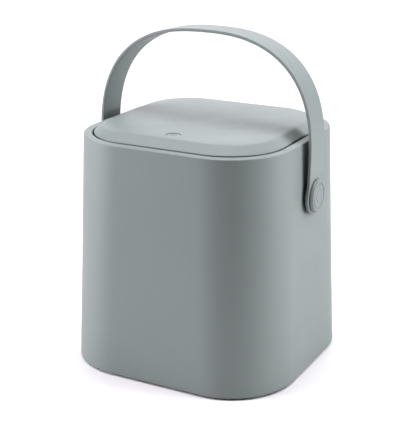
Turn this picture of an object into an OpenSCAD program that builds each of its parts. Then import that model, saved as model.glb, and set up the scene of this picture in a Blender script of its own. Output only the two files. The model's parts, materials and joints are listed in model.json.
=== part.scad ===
// Compost caddy with a hinged lid, an inner bucket and a swinging strap handle.
// Millimetres. Origin on the floor under the middle of the body, front towards -Y, +Z up.

/* [Body] */
// Width of the body at its lower edge, handle side to handle side
case_w = 200; // [185:1:230]
// Depth of the body at its lower edge, front to back
case_d = 192.4; // [180:1:220]
// Height of the body from its lower edge to the top of the rim
case_h = 197.7; // [180:1:240]
// How far each wall leans in between the lower edge and the rim
wall_lean = 7.8; // [4:0.2:9]
// Corner radius of the plan at the lower edge
corner_low = 58; // [50:1:64]
// Corner radius of the plan at the rim
corner_high = 55; // [48:1:60]
// Wall thickness of the body
case_wall = 2.4; // [1.8:0.1:3]
// Gap between the floor and the body's lower edge
foot_gap = 1.5; // [1:0.1:4]

/* [Rim] */
// Width of the rim seen from above
rim_w = 7.1; // [6.5:0.1:9]
// Thickness of the rim's top wall
rim_t = 3.2; // [2.4:0.1:4]
// Radius of the rim's outer edge
rim_edge_r = 1.2; // [0.8:0.1:3.5]
// Thickness of the throat wall that hangs inside the rim
throat_t = 2.2; // [1.8:0.1:2.6]
// Depth of the ledge that carries the bucket, below the rim
ledge_drop = 24; // [22:0.5:30]
// Width of that ledge
ledge_w = 5; // [4:0.2:7]

/* [Lid] */
// Open gap between the rim and the lid
lid_gap = 1.5; // [1.2:0.1:2]
// Height of the lid's top above the rim
lid_rise = 6; // [4:0.2:8]
// Width of the lid's sloping shoulder
shoulder_w = 9; // [6:0.5:10]
// Radius that blends the shoulder into the lid's top
shoulder_blend_r = 8; // [4:0.5:9]
// Thickness of the lid's top
lid_t = 2.2; // [1.8:0.1:2.6]
// Thickness of the lid's skirt
skirt_t = 2; // [1.6:0.1:2.4]
// Depth of the lid's skirt below the rim's top
skirt_drop = 8; // [7.5:0.1:9]
// Thickness of the inner panel's floor
liner_t = 2; // [1.6:0.1:2.4]
// Height of the seal
seal_h = 2.6; // [2:0.1:2.8]
// How far the seal stands out past the lid's edge
seal_proud = 1; // [0.6:0.05:1.05]

/* [Hinge] */
// Radius of the hinge pin
hinge_pin_r = 2; // [1.5:0.1:2.4]
// Radius of the hinge knuckles
knuckle_r = 4.5; // [4:0.1:4.6]
// Depth of the hinge axis below the rim's top
hinge_drop = 2.5; // [2:0.1:3]
// Overall width of the row of knuckles
hinge_w = 60; // [50:1:66]
// Width of the knuckle in the middle
mid_knuckle_w = 16; // [10:1:20]
// Width of each outer knuckle
end_knuckle_w = 10; // [8:1:12]

/* [Push button and latch] */
// Distance from the lid's front edge back to the middle of the button
button_in = 19.8; // [18.8:0.2:24]
// Radius of the button
button_r = 6.1; // [5.5:0.1:6.6]
// Depth of the button's face below the lid's top
button_recess = 0.3; // [0.1:0.1:0.8]
// Depth of the hollow in the button's face
dish_depth = 0.8; // [0.4:0.05:0.8]
// Radius of that hollow's curve
dish_r = 22; // [20:0.5:30]
// Travel of the button, which is also the travel of the latch
button_travel = 3.2; // [2.6:0.1:3.4]
// Width of the latch's nose
nose_w = 14; // [10:0.5:16]
// Thickness of the latch's nose
nose_t = 3; // [2.4:0.1:3.2]
// Depth of the top of the nose below the rim's top
nose_drop = 4.6; // [4.4:0.1:4.8]
// Radius of the button's two cam pegs
peg_r = 1; // [0.8:0.1:1.2]
// Mean radius of the return spring
spring_r = 3.2; // [2.9:0.1:3.6]
// Wire radius of the return spring
spring_wire_r = 0.4; // [0.3:0.05:0.5]
// Number of turns of the return spring
spring_turns = 5; // [4:1:7]

/* [Handle] */
// Depth of the handle's pivots below the rim
pivot_drop = 45.7; // [42:0.1:60]
// Gap between the body's wall and the inner face of the strap, beside the pivot
strap_gap = 2.35; // [1.6:0.05:4]
// Height of the strap's straight legs above the pivot
leg_h = 31.8; // [28:0.2:48]
// Height of the arch above the legs, inner face
arch_h = 94.4; // [84:0.2:104]
// Fullness of the arch, 2 is an ellipse
arch_power = 2.52; // [2.3:0.01:2.8]
// Thickness of the strap
strap_t = 2.7; // [2.4:0.1:4]
// Width of the strap
strap_w = 28; // [20:0.5:29]
// Radius of the strap's round ends
strap_end_r = 16; // [15:0.1:17]
// How far the handle leans back at rest, in degrees
handle_lean = 1.8; // [0:0.2:4]

/* [Handle pivots] */
// Radius of the pivot button
pivot_cap_r = 14; // [12:0.25:14.5]
// Thickness of the pivot button
pivot_cap_t = 2.8; // [2.2:0.1:4]
// Radius of the pivot button's stem
stem_r = 5; // [4:0.1:6]
// Wall of the bush between the stem and the strap
bush_wall = 2; // [1.4:0.1:3]
// Radius of the pad that the strap turns against
pad_r = 11; // [9.5:0.1:12]
// Thickness of the friction washer
washer_t = 0.6; // [0.4:0.1:0.8]
// Length of the pivot boss inside the wall
boss_in = 5; // [4:0.2:6]

/* [Bucket] */
// Wall thickness of the bucket
bucket_wall = 1.8; // [1.4:0.1:2.4]
// How far the bucket's wall leans in down to its floor
bucket_lean = 7; // [5:0.5:12]
// Radius of the bucket's lower edge
bucket_edge_r = 8; // [5:0.5:12]
// Height of the bucket's rolled edge above the ledge
bucket_lip_h = 4; // [3:0.2:5]
// Width of each finger tab
tab_w = 34; // [24:1:44]
// Height of each finger tab above the ledge
tab_h = 8; // [6:0.2:8.5]

/* [Base] */
// Thickness of the base plate
base_t = 2.4; // [2:0.1:3]
// Height of the base plate's upstand
base_rim_h = 9; // [7:0.5:12]
// Radius of a foot
foot_r = 9; // [7:0.5:10]
// Depth of the recess that a foot sits in
foot_seat = 1; // [0.8:0.1:1.5]

/* [Hidden] */
$fn = 64;
corner_steps = 10;
slip = 0.3;         // gap between pieces that move past each other
fit = 0.05;         // radial gap of a shaft in its bore
eps = 0.02;

base_z = foot_gap;
rim_z = base_z + case_h;
ledge_z = rim_z - ledge_drop;
lid_z = rim_z + lid_rise;
skirt_z = rim_z - skirt_drop;
seal_z = skirt_z - 2.2 - seal_h;
liner_z = seal_z - liner_t;
liner_floor_z = liner_z + liner_t;
groove_inset = skirt_t + 0.2;
lid_inset = rim_w + lid_gap;
shell_grey = [0.56, 0.60, 0.60];
inner_grey = [0.42, 0.45, 0.45];
rubber_grey = [0.22, 0.23, 0.23];
steel_grey = [0.72, 0.73, 0.74];
acetal_white = [0.90, 0.90, 0.88];

// ---- plan outlines -------------------------------------------------------
function mix(a, b, t) = a + (b - a) * t;
function rise(z) = (z - base_z) / case_h;
function half_w(z) = case_w / 2 - wall_lean * rise(z);
function half_d(z) = case_d / 2 - wall_lean * rise(z);
function corner(z) = mix(corner_low, corner_high, rise(z));

// A level is [half width, half depth, corner radius, height].
function wall_level(inset, z) = [half_w(z) - inset, half_d(z) - inset, corner(z) - inset, z];
function rim_level(inset, z) =
    [half_w(rim_z) - inset, half_d(rim_z) - inset, corner(rim_z) - inset, z];
function lid_level(inset, z) = rim_level(lid_inset + inset, z);

function ring(level) = [
    for (quarter = [0:3], i = [0:corner_steps])
        let (angle = 90 * (quarter + i / corner_steps),
            side_x = (quarter == 0 || quarter == 3) ? 1 : -1,
            side_y = quarter < 2 ? 1 : -1,
            r = level[2])
        [side_x * (level[0] - r) + r * cos(angle), side_y * (level[1] - r) + r * sin(angle), level[3]]
];

// Skin through a list of levels. A loop joins the last level to the first, otherwise both are capped.
module loft(levels, loop = false) {
    count = 4 * (corner_steps + 1);
    last = len(levels) - 1;
    points = [for (level = levels, p = ring(level)) p];
    walls = [
        for (k = [0:last - (loop ? 0 : 1)], i = [0:count - 1])
            let (up = (k + 1) % (last + 1), j = (i + 1) % count)
            each [
                [k * count + i, up * count + i, up * count + j],
                [k * count + i, up * count + j, k * count + j]
            ]
    ];
    lower_cap = [[for (i = [0:count - 1]) i]];
    upper_cap = [[for (i = [count - 1:-1:0]) last * count + i]];
    polyhedron(points, loop ? walls : concat(walls, lower_cap, upper_cap));
}

module each_side() {
    children();
    mirror([1, 0, 0]) children();
}

module on_side(side) {
    mirror([side < 0 ? 1 : 0, 0, 0]) children();
}

module along_x(x0, x1, r) {
    translate([x0, 0, 0]) rotate([0, 90, 0]) cylinder(r = r, h = x1 - x0);
}

// ---- handle pivot, measured along X --------------------------------------
pivot_z = rim_z - pivot_drop;
strap_inner_x = half_w(pivot_z) + strap_gap;
pad_x = strap_inner_x - slip + eps - washer_t;
strap_outer_x = strap_inner_x + strap_t;
cap_x = strap_outer_x + slip;
boss_x = half_w(pivot_z) - case_wall - boss_in;
stem_end_x = boss_x + 0.2;
pivot_washer_t = 1;
screw_head_t = 2.4;
screw_r = 1.9;
screw_len = 11;

// ---- hinge ---------------------------------------------------------------
hinge_y = half_d(rim_z) - rim_w / 2;
hinge_z = rim_z - hinge_drop;
notch_w = hinge_w + 2 * slip;
notch_z = hinge_z - knuckle_r - 0.5;
knuckle_slot = hinge_pin_r * 1.7;
lid_knuckle_w = (hinge_w - mid_knuckle_w) / 2 - end_knuckle_w - 2 * slip;
lid_knuckle_x = mid_knuckle_w / 2 + slip;

// ---- latch ---------------------------------------------------------------
lid_half_d = half_d(rim_z) - lid_inset;
button_y = lid_half_d - button_in;
nose_top = rim_z - nose_drop;
nose_reach = button_travel;
slot_r = peg_r + slip;
peg_z = nose_top - 0.5;
leg_x = 4.6;
leg_t = 1.6;
leg_d = 6;
bar_x = leg_x + leg_t + slip;
bar_t = 2.2;
bar_top = peg_z + slot_r + 1;
bar_low = peg_z - button_travel - slot_r - 1;
frame_front = button_y + button_travel + leg_d / 2 + 1.5;
frame_back = button_y - leg_d / 2 - button_travel - 2;
button_top = lid_z - button_recess;
collar_r = button_r + 1.5;
collar_top = lid_z - lid_t - slip;
collar_t = 1.4;
spring_top = collar_top - collar_t;

// ---- feet ----------------------------------------------------------------
// A foot stands on the diagonal of its corner, as far out as its pad fits inside the wall.
foot_pad_r = foot_r + 2;
foot_reach = corner_low - case_wall - slip - foot_pad_r - 0.6;
foot_inset = corner_low - foot_reach / sqrt(2);
foot_x = case_w / 2 - foot_inset;
foot_y = case_d / 2 - foot_inset;
foot_pad_h = 7;
base_screw_r = 1.4;
base_screw_head_r = 3.6;
base_screw_head_t = 2.2;
base_screw_seat = base_z + foot_seat + 3.2;
screw_boss_h = 20;
screw_boss_r = 5;
web_low = base_rim_h + slip;
web_reach = corner_low - case_wall + 0.4 - foot_reach;

module each_foot() {
    for (sx = [-1, 1], sy = [-1, 1])
        translate([sx * foot_x, sy * foot_y, 0]) mirror([sx < 0 ? 1 : 0, 0, 0])
            mirror([0, sy < 0 ? 1 : 0, 0]) children();
}

// ---- outer shell ---------------------------------------------------------
module shell_skin() {
    inner_throat = rim_w - throat_t;
    loft(concat(
        [wall_level(0.8, base_z), wall_level(0, base_z + 0.8)],
        [
            for (a = [0:22.5:90])
                wall_level(rim_edge_r * (1 - cos(a)), rim_z - rim_edge_r * (1 - sin(a)))
        ],
        [
            rim_level(rim_w - 0.4, rim_z),
            rim_level(rim_w - 0.1, rim_z - 0.15),
            rim_level(rim_w, rim_z - 0.4),
            rim_level(rim_w, ledge_z),
            rim_level(rim_w + ledge_w, ledge_z),
            rim_level(rim_w + ledge_w, ledge_z - throat_t),
            rim_level(inner_throat, ledge_z - throat_t),
            rim_level(inner_throat, rim_z - rim_t),
            wall_level(case_wall, rim_z - rim_t),
            wall_level(case_wall, base_z + 0.6),
            wall_level(case_wall - 0.6, base_z)
        ]
    ), loop = true);
}

module shell_knuckle(x0, x1) {
    translate([0, hinge_y, hinge_z]) along_x(x0, x1, knuckle_r);
    translate([x0, hinge_y - rim_w / 2 + 0.2, notch_z - 1])
        cube([x1 - x0, rim_w - 0.4, hinge_z - notch_z + 1]);
}

module outer_shell() color(shell_grey) {
    difference() {
        union() {
            shell_skin();
            // pivot bosses with their outer pads and inner gussets
            each_side() translate([0, 0, pivot_z]) {
                along_x(boss_x, pad_x, pad_r);
                for (turn = [0:90:270])
                    rotate([turn, 0, 0])
                        translate([boss_x + 1, -1, pad_r - 1])
                            cube([half_w(pivot_z) - case_wall / 2 - boss_x - 1, 2, 6]);
            }
            // solid seat under the hinge, closing the hollow rim there
            translate([-notch_w / 2 - 2.5, hinge_y - rim_w / 2 + 0.5, notch_z - 8])
                cube([notch_w + 5, rim_w - 1.2, rim_z - notch_z + 8 - rim_t / 2]);
            // screw bosses for the base plate, each webbed to its corner
            each_foot() {
                translate([0, 0, base_z + foot_pad_h]) cylinder(r = screw_boss_r, h = screw_boss_h);
                translate([0, 0, base_z + web_low]) rotate(45)
                    translate([0, -1.25, 0]) cube([web_reach, 2.5, screw_boss_h - web_low + 4]);
            }
        }
        each_side() translate([0, 0, pivot_z]) along_x(boss_x - 1, pad_x + 1, stem_r + fit);
        each_foot()
            translate([0, 0, base_z + foot_pad_h - 1])
                cylinder(r = base_screw_r + fit, h = screw_boss_h - 3);
        // notch for the knuckles, cut down through the back of the rim
        translate([-notch_w / 2, hinge_y - rim_w, notch_z]) cube([notch_w, 2.5 * rim_w, rim_z - notch_z + 1]);
        // window that the latch's nose catches under
        translate([-nose_w / 2 - slip, -half_d(rim_z) + case_wall + 0.3, nose_top - nose_t - 2 * slip])
            cube([nose_w + 2 * slip, rim_w, nose_t + 3 * slip + 0.1]);
    }
    difference() {
        union() {
            shell_knuckle(-hinge_w / 2, -hinge_w / 2 + end_knuckle_w);
            shell_knuckle(-mid_knuckle_w / 2, mid_knuckle_w / 2);
            shell_knuckle(hinge_w / 2 - end_knuckle_w, hinge_w / 2);
        }
        translate([0, hinge_y, hinge_z]) along_x(-hinge_w, hinge_w, hinge_pin_r + fit);
        // open top that lets the pin snap in
        translate([-hinge_w, hinge_y - knuckle_slot / 2, hinge_z])
            cube([2 * hinge_w, knuckle_slot, 2 * knuckle_r]);
    }
}

// ---- base ----------------------------------------------------------------
module base_plate() color(inner_grey) {
    side = case_wall + slip;
    rib_step = 0.15 * case_w;
    rib_top = base_t + 3;
    difference() {
        union() {
            loft([
                wall_level(side + 1, base_z),
                wall_level(side, base_z + 1),
                wall_level(side, base_z + base_rim_h),
                wall_level(side + 2, base_z + base_rim_h),
                wall_level(side + 2, base_z + base_t)
            ]);
            each_foot() translate([0, 0, base_z]) cylinder(r = foot_pad_r, h = foot_pad_h);
            // stiffening ribs
            for (k = [-1:1]) {
                translate([k * rib_step - 1, -half_d(base_z) + side + 1, base_z + 1])
                    cube([2, 2 * (half_d(base_z) - side - 1), rib_top]);
                translate([-half_w(base_z) + side + 1, k * rib_step - 1, base_z + 1])
                    cube([2 * (half_w(base_z) - side - 1), 2, rib_top]);
            }
        }
        each_foot() {
            translate([0, 0, base_z - 1]) cylinder(r = foot_r + 0.1, h = foot_seat + 1);
            translate([0, 0, base_z]) cylinder(r = base_screw_head_r + 0.4, h = base_screw_seat - base_z);
            translate([0, 0, base_z]) cylinder(r = base_screw_r + 0.4, h = foot_pad_h + 1);
        }
    }
}

module base_screws() color(steel_grey) {
    each_foot() {
        translate([0, 0, base_screw_seat - base_screw_head_t]) difference() {
            cylinder(r = base_screw_head_r, h = base_screw_head_t);
            for (turn = [0, 90])
                rotate(turn) translate([-2, -0.45, -1]) cube([4, 0.9, 2]);
        }
        translate([0, 0, base_screw_seat - eps]) cylinder(r = base_screw_r, h = screw_boss_h - 5);
    }
}

module foot(sx, sy) color(rubber_grey)
    translate([sx * foot_x, sy * foot_y, 0])
        rotate_extrude() polygon([
            [0, 0], [foot_r - 0.8, 0], [foot_r - 0.2, 0.25], [foot_r, 0.8],
            [foot_r, base_z + foot_seat], [0, base_z + foot_seat]
        ]);

module foot_front_left() foot(-1, -1);
module foot_front_right() foot(1, -1);
module foot_rear_left() foot(-1, 1);
module foot_rear_right() foot(1, 1);

// ---- bucket --------------------------------------------------------------
bucket_top_inset = rim_w + ledge_w + 0.9;
bucket_low_inset = bucket_top_inset + bucket_lean;
bucket_z = base_z + base_rim_h + 1.5;
flange_inset = rim_w + 0.5;

module inner_bucket() color(inner_grey) {
    edge_in = bucket_edge_r - bucket_wall;
    loft(concat(
        [
            for (a = [0:22.5:90])
                rim_level(bucket_low_inset + bucket_edge_r * (1 - sin(a)),
                    bucket_z + bucket_edge_r * (1 - cos(a)))
        ],
        [
            rim_level(bucket_top_inset, ledge_z - 1),
            rim_level(bucket_top_inset, ledge_z),
            rim_level(flange_inset, ledge_z),
            rim_level(flange_inset, ledge_z + bucket_lip_h - 0.6),
            rim_level(flange_inset + 0.6, ledge_z + bucket_lip_h),
            rim_level(flange_inset + bucket_wall - 0.4, ledge_z + bucket_lip_h),
            rim_level(flange_inset + bucket_wall, ledge_z + bucket_lip_h - 0.4),
            rim_level(flange_inset + bucket_wall, ledge_z + bucket_wall),
            rim_level(bucket_top_inset + bucket_wall - 0.8, ledge_z + bucket_wall),
            rim_level(bucket_top_inset + bucket_wall, ledge_z + bucket_wall - 0.8)
        ],
        [
            for (a = [90:-22.5:0])
                rim_level(bucket_low_inset + bucket_wall + edge_in * (1 - sin(a)),
                    bucket_z + bucket_wall + edge_in * (1 - cos(a)))
        ]
    ));
    // finger tabs
    each_side()
        translate([half_w(rim_z) - bucket_top_inset, 0, ledge_z + bucket_wall - 0.5])
            rotate([90, 0, 90]) translate([-tab_w / 2, 0, 0]) linear_extrude(2)
                tab_outline(tab_w, tab_h - bucket_wall + 0.5, 3);
}

module tab_outline(w, h, r) {
    difference() {
        union() {
            square([w, h - r]);
            translate([r, 0]) square([w - 2 * r, h]);
            translate([r, h - r]) circle(r = r);
            translate([w - r, h - r]) circle(r = r);
        }
        translate([w / 2, 0.6 * h]) square([w / 2, 2], center = true);
    }
}

// ---- lid -----------------------------------------------------------------
shoulder_foot = 0.6;
shoulder_slope = atan((lid_rise - shoulder_foot) / shoulder_w);

// A small rounded edge, a straight slope, and an arc that blends into the lid's top.
function shoulder(in_extra, down) = let (foot_z = rim_z + shoulder_foot - down, cut = 0.4) concat(
    [
        lid_level(in_extra, foot_z - cut),
        lid_level(in_extra + 0.1, foot_z - 0.05),
        lid_level(in_extra + cut, foot_z + cut * tan(shoulder_slope))
    ],
    [
        for (k = [4:-1:0])
            let (a = shoulder_slope * k / 4)
            lid_level(in_extra + shoulder_w + shoulder_blend_r * (tan(shoulder_slope / 2) - sin(a)),
                lid_z - shoulder_blend_r * (1 - cos(a)) - down)
    ]
);

function reversed(list) = [for (i = [len(list) - 1:-1:0]) list[i]];

module lid_knuckle() {
    translate([0, hinge_y, hinge_z])
        along_x(lid_knuckle_x, lid_knuckle_x + lid_knuckle_w, knuckle_r);
    translate([lid_knuckle_x, lid_half_d - 0.8, hinge_z - 2.4])
        cube([lid_knuckle_w, lid_gap + rim_w / 2 + 0.8, 4.6]);
}

module nose_gate(depth) {
    translate([-nose_w / 2 - slip, -lid_half_d - 1, nose_top - nose_t - slip])
        cube([nose_w + 2 * slip, depth, nose_t + 2 * slip]);
}

module lid_cover() color(shell_grey) {
    difference() {
        union() {
            loft(concat(
                reversed(shoulder(skirt_t, lid_t)),
                [lid_level(skirt_t, skirt_z), lid_level(0, skirt_z)],
                shoulder(0, 0),
                [lid_level(3 * shoulder_w, lid_z + 0.3)]
            ));
            each_side() lid_knuckle();
        }
        translate([0, hinge_y, hinge_z]) along_x(-hinge_w, hinge_w, hinge_pin_r + fit);
        translate([0, -button_y, lid_z - lid_t - 1]) cylinder(r = button_r + 0.2, h = lid_t + 3);
        nose_gate(skirt_t + 2);
        translate([-nose_w / 2 - slip, -lid_half_d - 1, skirt_z - 1])
            cube([nose_w + 2 * slip, skirt_t + 2, 2]);
    }
}

// Inner panel: a tray with a groove round its edge for the seal.
module lid_liner() color(inner_grey) {
    rail_x = bar_x + bar_t + slip;
    rib_step = 0.43 * (half_w(rim_z) - lid_inset);
    rib_front = 6 - frame_back;
    difference() {
        union() {
            loft([
                lid_level(2.6, liner_z),
                lid_level(1.2, liner_z + 0.5),
                lid_level(0.7, liner_z + 1.4),
                lid_level(0.7, seal_z),
                lid_level(groove_inset, seal_z),
                lid_level(groove_inset, seal_z + seal_h),
                lid_level(0, seal_z + seal_h),
                lid_level(0, skirt_z),
                lid_level(groove_inset, skirt_z),
                lid_level(groove_inset, skirt_z + 3.6),
                lid_level(groove_inset + 1.6, skirt_z + 3.6),
                lid_level(groove_inset + 1.6, liner_floor_z)
            ]);
            // stepped rails that guide the latch
            each_side() {
                translate([rail_x, -frame_front - 4, liner_floor_z - 1])
                    cube([1.8, frame_front - frame_back + 6, peg_z - liner_floor_z - 1]);
                translate([bar_x, -frame_front - 4, liner_floor_z - 1])
                    cube([rail_x - bar_x + 1, frame_front - frame_back + 6, bar_low - slip - liner_floor_z + 1]);
            }
            // post inside the return spring
            translate([0, -button_y, liner_floor_z - 1])
                cylinder(r = spring_r - spring_wire_r - slip, h = 5);
            // stiffening ribs across the tray
            for (k = [-1:1])
                translate([k * rib_step - 1, rib_front, liner_floor_z - 1])
                    cube([2, lid_half_d - 2 - rib_front, 5]);
        }
        nose_gate(groove_inset + 6);
    }
}

module lid_seal() color(rubber_grey) {
    inner = groove_inset - fit;
    half = seal_h / 2;
    loft([
        lid_level(inner, seal_z + 0.1),
        lid_level(0.5, seal_z + 0.1),
        lid_level(0.2 - seal_proud, seal_z + half - 0.5),
        lid_level(-seal_proud, seal_z + half),
        lid_level(0.2 - seal_proud, seal_z + half + 0.5),
        lid_level(0.5, seal_z + seal_h - 0.1),
        lid_level(inner, seal_z + seal_h - 0.1)
    ], loop = true);
}

module hinge_pin() color(steel_grey)
    translate([0, hinge_y, hinge_z]) along_x(-hinge_w / 2 + 0.5, hinge_w / 2 - 0.5, hinge_pin_r);

// ---- push button, spring and latch ---------------------------------------
module push_button() color(shell_grey) translate([0, -button_y, 0]) {
    difference() {
        translate([0, 0, collar_top - eps]) cylinder(r = button_r, h = button_top - collar_top + eps);
        translate([0, 0, button_top + dish_r - dish_depth]) sphere(r = dish_r, $fn = 96);
    }
    translate([0, 0, spring_top]) cylinder(r = collar_r, h = collar_t);
    each_side() {
        translate([leg_x, -leg_d / 2, peg_z - peg_r - 0.6])
            cube([leg_t, leg_d, spring_top - peg_z + peg_r + 0.6 + eps]);
        translate([0, 0, peg_z]) along_x(leg_x, bar_x + bar_t - 0.2, peg_r);
    }
}

function coil_point(t) =
    [spring_r * cos(360 * spring_turns * t), spring_r * sin(360 * spring_turns * t),
     mix(liner_floor_z + spring_wire_r + 0.05, spring_top - spring_wire_r - 0.05, t)];

module button_spring() color(steel_grey) translate([0, -button_y, 0]) {
    sides = 6;
    rings = 12 * spring_turns;
    points = [
        for (k = [0:rings], s = [0:sides - 1])
            let (c = coil_point(k / rings), turn = 360 * spring_turns * k / rings,
                a = 360 * s / sides, reach = spring_wire_r * cos(a))
            c + [reach * cos(turn), reach * sin(turn), spring_wire_r * sin(a)]
    ];
    walls = [
        for (k = [0:rings - 1], s = [0:sides - 1])
            let (n = (s + 1) % sides, low = k * sides, up = (k + 1) * sides)
            each [[low + s, up + n, up + s], [low + s, low + n, up + n]]
    ];
    first = [[for (s = [sides - 1:-1:0]) s]];
    last = [[for (s = [0:sides - 1]) rings * sides + s]];
    polyhedron(points, concat(walls, first, last));
}

// Frame with a nose in front. The slanted slots turn the button's travel into the nose's.
module latch_slider() color(acetal_white) {
    tip_y = -(lid_half_d + nose_reach);
    difference() {
        union() {
            translate([-nose_w / 2, tip_y, nose_top - nose_t])
                cube([nose_w, -frame_front - tip_y + 0.5, nose_t]);
            translate([-bar_x - bar_t, -frame_front - 2, nose_top - nose_t])
                cube([2 * (bar_x + bar_t), 2, nose_t]);
            translate([-bar_x - bar_t, -frame_back, nose_top - nose_t])
                cube([2 * (bar_x + bar_t), 2, nose_t]);
            each_side()
                translate([bar_x, -frame_front - 2, bar_low])
                    cube([bar_t, frame_front - frame_back + 4, bar_top - bar_low]);
        }
        for (t = [0, 1])
            translate([0, -button_y - t * button_travel, peg_z - t * button_travel])
                along_x(-2 * bar_x, 2 * bar_x, slot_r);
        translate([-2 * bar_x, -button_y, peg_z]) rotate([45, 0, 0])
            translate([0, -sqrt(2) * button_travel, -slot_r])
                cube([4 * bar_x, sqrt(2) * button_travel, 2 * slot_r]);
        // lead-in on the underside of the nose
        translate([-nose_w, tip_y, nose_top - nose_t]) rotate([40, 0, 0])
            translate([0, -4, -4]) cube([2 * nose_w, 8, 4]);
    }
}

// ---- handle --------------------------------------------------------------
arch_steps = 40;
arch_turn = 180 / arch_steps;
leg_top_x = strap_inner_x + 0.3;

function arch_point(grow, a) = [
    sign(cos(a)) * (leg_top_x + grow) * pow(abs(cos(a)), 2 / arch_power),
    leg_h + (arch_h + grow) * pow(abs(sin(a)), 2 / arch_power)
];

// Front outline of the strap: two legs joined by a full arch.
module strap_front() {
    foot_drop = -strap_end_r - 1;
    outer = [for (k = [0:arch_steps]) arch_point(strap_t, k * arch_turn)];
    inner = [for (k = [arch_steps:-1:0]) arch_point(0, k * arch_turn)];
    polygon(concat(
        [[strap_inner_x, 0], [strap_inner_x, foot_drop], [strap_outer_x, foot_drop], [strap_outer_x, 0]],
        outer,
        [[-strap_outer_x, 0], [-strap_outer_x, foot_drop], [-strap_inner_x, foot_drop], [-strap_inner_x, 0]],
        inner
    ));
}

// Side outline of the strap: a band that widens into a round end at the pivot.
module strap_side() {
    flare = sqrt(pow(strap_end_r + 30, 2) - pow(strap_w / 2 + 30, 2));
    circle(r = strap_end_r, $fn = 96);
    difference() {
        translate([-strap_end_r, 0]) square([2 * strap_end_r, flare]);
        for (s = [-1, 1])
            translate([s * (strap_w / 2 + 30), flare]) circle(r = 30, $fn = 128);
    }
    translate([-strap_w / 2, 0]) square([strap_w, leg_h + arch_h + strap_t + 2]);
}

module handle_strap() color(shell_grey) translate([0, 0, pivot_z]) rotate([-handle_lean, 0, 0]) {
    difference() {
        intersection() {
            rotate([90, 0, 0]) translate([0, 0, -strap_end_r - 1])
                linear_extrude(2 * strap_end_r + 2) strap_front();
            rotate([90, 0, 90]) translate([0, 0, -strap_outer_x - 5])
                linear_extrude(2 * strap_outer_x + 10) strap_side();
        }
        along_x(-strap_outer_x - 5, strap_outer_x + 5, stem_r + fit + bush_wall);
    }
}

module strap_bush(side) color(acetal_white) on_side(side) translate([0, 0, pivot_z])
    difference() {
        along_x(strap_inner_x, strap_outer_x, stem_r + fit + bush_wall);
        along_x(strap_inner_x - 1, strap_outer_x + 1, stem_r + fit);
    }

module strap_bush_left() strap_bush(-1);
module strap_bush_right() strap_bush(1);

// Round button over the strap's end, with a tapered side, a ring groove and a fine ring round its centre.
module pivot_button(side) color(shell_grey) on_side(side) translate([0, 0, pivot_z]) {
    groove_x = pivot_cap_t - 0.7;
    disc_r = 5;
    difference() {
        union() {
            translate([cap_x, 0, 0]) rotate([0, 90, 0]) rotate_extrude() polygon([
                [0, 0], [pivot_cap_r, 0], [pivot_cap_r, 0.5],
                [pivot_cap_r - 1, pivot_cap_t - 0.4], [pivot_cap_r - 1.4, pivot_cap_t],
                [pivot_cap_r - 2.9, pivot_cap_t], [pivot_cap_r - 3.4, groove_x],
                [pivot_cap_r - 4.2, groove_x], [pivot_cap_r - 4.9, pivot_cap_t - 0.1],
                [disc_r + 0.6, pivot_cap_t - 0.1], [disc_r + 0.3, pivot_cap_t - 0.5],
                [disc_r, pivot_cap_t - 0.1], [0, pivot_cap_t]
            ]);
            along_x(stem_end_x, cap_x + eps, stem_r);
        }
        along_x(stem_end_x - 1, stem_end_x + screw_len, screw_r + fit);
    }
}

module pivot_button_left() pivot_button(-1);
module pivot_button_right() pivot_button(1);

module friction_washer(side) color(rubber_grey) on_side(side) translate([0, 0, pivot_z])
    difference() {
        along_x(pad_x, pad_x + washer_t, pad_r - 0.5);
        along_x(pad_x - 1, pad_x + washer_t + 1, stem_r + fit);
    }

module friction_washer_left() friction_washer(-1);
module friction_washer_right() friction_washer(1);

module pivot_washer(side) color(steel_grey) on_side(side) translate([0, 0, pivot_z])
    difference() {
        along_x(boss_x - pivot_washer_t, boss_x, stem_r + 3);
        along_x(boss_x - pivot_washer_t - 1, boss_x + 1, screw_r + 0.2);
    }

module pivot_washer_left() pivot_washer(-1);
module pivot_washer_right() pivot_washer(1);

module pivot_screw(side) color(steel_grey) on_side(side) translate([0, 0, pivot_z]) {
    seat_x = boss_x - pivot_washer_t;
    difference() {
        translate([seat_x, 0, 0]) rotate([0, -90, 0]) rotate_extrude() polygon([
            [0, 0], [3.8, 0], [3.6, 1.3], [2.6, 2.1], [0, screw_head_t]
        ]);
        for (turn = [0, 90])
            rotate([turn, 0, 0]) translate([seat_x - 4, -0.5, -2]) cube([2.8, 1, 4]);
    }
    along_x(seat_x - eps, stem_end_x + screw_len - 2, screw_r);
}

module pivot_screw_left() pivot_screw(-1);
module pivot_screw_right() pivot_screw(1);

outer_shell();
base_plate();
base_screws();
foot_front_left();
foot_front_right();
foot_rear_left();
foot_rear_right();
inner_bucket();
lid_cover();
lid_liner();
lid_seal();
hinge_pin();
push_button();
button_spring();
latch_slider();
handle_strap();
strap_bush_left();
strap_bush_right();
pivot_button_left();
pivot_button_right();
friction_washer_left();
friction_washer_right();
pivot_washer_left();
pivot_washer_right();
pivot_screw_left();
pivot_screw_right();
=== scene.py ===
import json
import math

import bmesh
import bpy
from bpy.props import FloatProperty, FloatVectorProperty, IntProperty, PointerProperty
from mathutils import Matrix, Vector


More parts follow.
